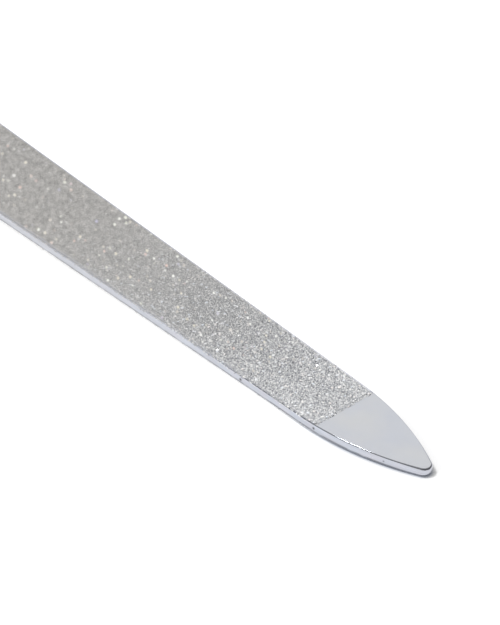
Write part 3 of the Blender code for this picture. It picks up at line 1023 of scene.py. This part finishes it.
def painted_sparkles(group, along, pattern):
    """Share and tone of the painted sparkle highlights, by the place along the blade and the pattern's frame.
    """
    cells = add_node(group, "ShaderNodeTexVoronoi", inputs={
        "Vector": pattern, "Scale": SPOT_SCALE}).outputs
    chance = add_node(group, "ShaderNodeSeparateColor", inputs={0: cells["Color"]}).outputs
    edge, least, full = (
        spread(group, along, SPOT_FRONT, ends) for ends in (SPOT_EDGE, SPOT_LEAST, SPOT_FULL))
    disc = spread(group, cells["Distance"], (edge, SPOT_CORE), smooth=True)
    strength = spread(group, chance[0], (least, full))
    cover = spread(group, along, SPOT_END, SPOT_COVER)
    return times(group, disc, strength, cover), graded(group, chance[1], PAINTED_SPARKLE_TONES)


def dimming_and_painted_shade(group, place, along):
    """How bright the grains stay: darker towards the handle, and with painted shade across the middle of the
    width.
    """
    across = spread(group, coordinate(group, place, "Y"), PAINTED_SHADE_SIDES)
    # Painted shade across the width.
    shade_across = graded(group, across, [(position, grey(level)) for position, level in PAINTED_SHADE_ACROSS])
    return times(group, spread(group, along, DIMMING_FRONT, DIMMING_LEVEL),
                 calc(group, "MULTIPLY_ADD", shade_across, -PAINTED_SHADE_DEPTH, 1.0))


def make_dust_and_painted_light():
    """Dust, painted sparkle highlights and painted shade over a colour and a roughness, with no dust or
    highlights where a surface stays bare.
    """
    group = bpy.data.node_groups.new("dust_and_painted_light", "ShaderNodeTree")
    face = group.interface
    face.new_socket("Vector", in_out="INPUT", socket_type="NodeSocketVector")
    for in_out in ("INPUT", "OUTPUT"):
        face.new_socket("Color", in_out=in_out, socket_type="NodeSocketColor")
        face.new_socket("Roughness", in_out=in_out, socket_type="NodeSocketFloat")
    face.new_socket("Bare", in_out="INPUT", socket_type="NodeSocketFloat")
    inside = add_node(group, "NodeGroupInput").outputs
    place = inside["Vector"]
    along = coordinate(group, place, "X")
    pattern = add_node(group, "ShaderNodeMapping", vector_type="TEXTURE", inputs={
        "Vector": place, "Location": PATTERN_SLICE, "Rotation": PATTERN_TURN,
        "Scale": PATTERN_STRETCH}).outputs[0]
    covered = calc(group, "SUBTRACT", 1.0, inside["Bare"])
    used = spread(group, along, DUST_FRONT, (DUST_SHARE, 0.0), smooth=True)
    share = times(group, used, mottled(group, place, COVER_PATCHES, COVER_RANGE), covered)
    dust = blend(group, mottled(group, pattern, DUST_PATCHES), *DUST_TONES)
    dimmed_and_shaded = scaled(group, inside["Color"], dimming_and_painted_shade(group, place, along))
    # Painted highlights: pale spots for the blurred sparkles of single crystals.
    spots, tone = painted_sparkles(group, along, pattern)
    colour = blend(group, times(group, spots, covered), blend(group, share, dimmed_and_shaded, dust), tone)
    rough = between(group, share, inside["Roughness"], DUST_ROUGHNESS)
    add_node(group, "NodeGroupOutput", inputs={"Color": colour, "Roughness": rough})
    return group


DUST_AND_PAINTED_LIGHT = make_dust_and_painted_light()


def lay_dust_and_painted_light(tree, shader, place, colour, roughness, bare):
    """Lay the dust, painted highlights and painted shade over a colour and a roughness, and link both to the
    shader.
    """
    dusty = add_node(tree, "ShaderNodeGroup", node_tree=DUST_AND_PAINTED_LIGHT, inputs={
        "Vector": place, "Color": colour, "Roughness": roughness, "Bare": bare}).outputs
    feed(tree, shader, Base_Color=dusty["Color"], Roughness=dusty["Roughness"])


print("dust covers at most", DUST_SHARE, "of the grit's colour")

# %% [markdown]
# ## Grit finishes
# Crushed diamond is clear to grey, and each facet either catches the light or stays dark.
# A ramp over the facets' random numbers paints that contrast into the colour as painted
# light and shade, with a few warm and cool tints for the big crystals. They stay free of
# dust near the tip, so that they sparkle.

# %% Diamond finish
DIAMOND_IOR = 2.4
DIAMOND_ROUGHNESS = 0.15
COARSE_LEVEL = 1.0
FINE_LEVEL = 0.95
# Painted light and shade: the near-black stops stand for facets in shade, the white ones for lit facets; the
# warm and cool stops are tints.
GRIT_PAINTED_LIGHT_AND_TONES = (
    (0.0, (0.0, 0.0, 0.01)), (0.28, (0.32, 0.33, 0.35)), (0.30, (1.0, 1.0, 1.0)),
    (0.93, (0.97, 0.97, 0.95)), (0.955, (0.94, 0.88, 0.86)), (0.975, (0.86, 0.92, 1.0)),
    (1.0, (1.0, 1.0, 1.0)))
BARE_GRAIN = (0.945, 0.955)
BARE_FRONT = (NOSE_X - 0.045, NOSE_X - 0.030)


def diamond_finish(name, level):
    """Glossy crystals in random tints with painted light and shade, all of them dimmed to a level."""
    material, tree, shader = new_material(name, IOR=DIAMOND_IOR)
    place = object_place(tree)
    number = add_node(tree, "ShaderNodeAttribute", attribute_name="crystal").outputs["Fac"]
    tones = [(position, [c * level for c in tone] + [1]) for position, tone in GRIT_PAINTED_LIGHT_AND_TONES]
    clean = spread(tree, coordinate(tree, place, "X"), BARE_FRONT)
    bare = times(tree, spread(tree, number, BARE_GRAIN), clean)
    lay_dust_and_painted_light(tree, shader, place, graded(tree, number, tones), DIAMOND_ROUGHNESS, bare)
    return material


for pieces, name, level in (
        (upper_grains, "coarse_diamonds", COARSE_LEVEL),
        (lower_grains, "fine_diamonds", FINE_LEVEL)):
    diamonds = diamond_finish(name, level)
    for piece in pieces:
        piece.data.materials.append(diamonds)
print("diamond nodes:", len(diamonds.node_tree.nodes), "and the dust's:", len(DUST_AND_PAINTED_LIGHT.nodes))

# %% [markdown]
# Plated nickel is dull and dark between the grains. It shows most where no grain sits: on
# the slope at the coat's front line, which is painted paler as painted light to lift its
# shade, and along both rims, where the near one is painted in a shaded tone and the far one
# with a painted reflection of the bright side of the tent.

# %% Nickel finish
NICKEL_METALLIC = 0.4
NICKEL_TONES = ((0.29, 0.30, 0.325, 1), (0.48, 0.49, 0.525, 1))
NICKEL_SPECKS = 6000
NICKEL_PATCHES = 3000
NICKEL_ROUGHNESS = (0.35, 0.6)
# Painted light: the front slope is paler, to lift its shade.
SLOPE_PAINTED_LIGHT = (0.68, 0.70, 0.735, 1)
SLOPE_FRONT = (COAT_HIGH.x - 2 * FRONT_SLOPE, COAT_HIGH.x - FRONT_SLOPE / 2)
# Painted shade on the near border, a painted reflection of the tent's bright side on the far one.
NEAR_BORDER_SHADE = (0.50, 0.505, 0.53, 1)
FAR_BORDER_REFLECTION = (0.80, 0.81, 0.88, 1)
TAPER_EDGE = SHOULDER_WIDTH / 2 + (NOSE_X - SHOULDER_SETBACK) * TAPER
BORDER_REACH = (TAPER_EDGE - 0.00046, TAPER_EDGE - 0.00032)
BORDER_SIDES = (-0.001, 0.001)


def nickel_border(tree, place):
    """Share and painted colour of the nickel's long borders, shade on the near one and a
    reflection on the far one, measured across the blade's taper.
    """
    apart = add_node(tree, "ShaderNodeSeparateXYZ", inputs={0: place}).outputs
    out = calc(tree, "MULTIPLY_ADD", apart["X"], TAPER, calc(tree, "ABSOLUTE", apart["Y"]))
    tone = blend(tree, spread(tree, apart["Y"], BORDER_SIDES), NEAR_BORDER_SHADE, FAR_BORDER_REFLECTION)
    return spread(tree, out, BORDER_REACH), tone


def nickel_finish(name):
    """Specked nickel, with painted light on the front slope and painted shade and reflection
    along its borders, under the dust.
    """
    material, tree, shader = new_material(name, Metallic=NICKEL_METALLIC)
    place = object_place(tree)
    colour = blend(tree, mottled(tree, place, NICKEL_SPECKS), *NICKEL_TONES)
    slope = spread(tree, coordinate(tree, place, "X"), SLOPE_FRONT)
    colour = blend(tree, slope, colour, SLOPE_PAINTED_LIGHT)
    border, border_light = nickel_border(tree, place)
    rough = mottled(tree, place, NICKEL_PATCHES, NICKEL_ROUGHNESS)
    lay_dust_and_painted_light(tree, shader, place, blend(tree, border, colour, border_light), rough, border)
    return material


upper_nickel.data.materials.append(nickel_finish("coarse_side_nickel"))
lower_nickel.data.materials.append(nickel_finish("fine_side_nickel"))
print("nickel nodes:", len(upper_nickel.data.materials[0].node_tree.nodes))

# %% [markdown]
# ## Handle
# Both shells are moulded in dark grey plastic with a fine leather grain. Their solids have
# the right form, so merged copies are shaded smooth and stand for them, and the grain is a
# bump, because it is far too shallow to show in the outline.

# %% Handle
PLASTIC_GREY = (0.035, 0.036, 0.040, 1)
PLASTIC_ROUGHNESS = (0.38, 0.50)
PLASTIC_PATCHES = 300
LEATHER_SCALE = 5000
LEATHER_DETAIL = 2.0
LEATHER_STRENGTH = 0.25
LEATHER_DEPTH = 0.00005


def plastic_finish():
    """Dark plastic with a leather grain and a slightly uneven gloss."""
    material, tree, shader = new_material("handle_plastic", Base_Color=PLASTIC_GREY)
    place = object_place(tree)
    leather = mottled(tree, place, LEATHER_SCALE, detail=LEATHER_DETAIL)
    bump = add_node(tree, "ShaderNodeBump", inputs={
        "Height": leather, "Strength": LEATHER_STRENGTH, "Distance": LEATHER_DEPTH})
    feed(tree, shader, Normal=bump.outputs[0],
         Roughness=mottled(tree, place, PLASTIC_PATCHES, PLASTIC_ROUGHNESS))
    return material


upper_shell = smooth_copy("handle_upper_shell", "upper_handle")
lower_shell = smooth_copy("handle_lower_shell", "lower_handle")
plastic = plastic_finish()
upper_shell.data.materials.append(plastic)
lower_shell.data.materials.append(plastic)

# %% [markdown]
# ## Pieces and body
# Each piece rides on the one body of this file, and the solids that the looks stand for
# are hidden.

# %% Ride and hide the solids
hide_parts("blade_blank")
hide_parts("upper_grit_coat")
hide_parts("lower_grit_coat")
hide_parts("handle_upper_shell")
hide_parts("handle_lower_shell")
for pieces, slot in (
        ([blade], "chromed_steel"), ([upper_nickel] + upper_grains, "coarse_diamond_grit"),
        ([lower_nickel] + lower_grains, "fine_diamond_grit"), ([upper_shell, lower_shell], "handle_plastic")):
    for piece in pieces:
        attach(piece, "root")
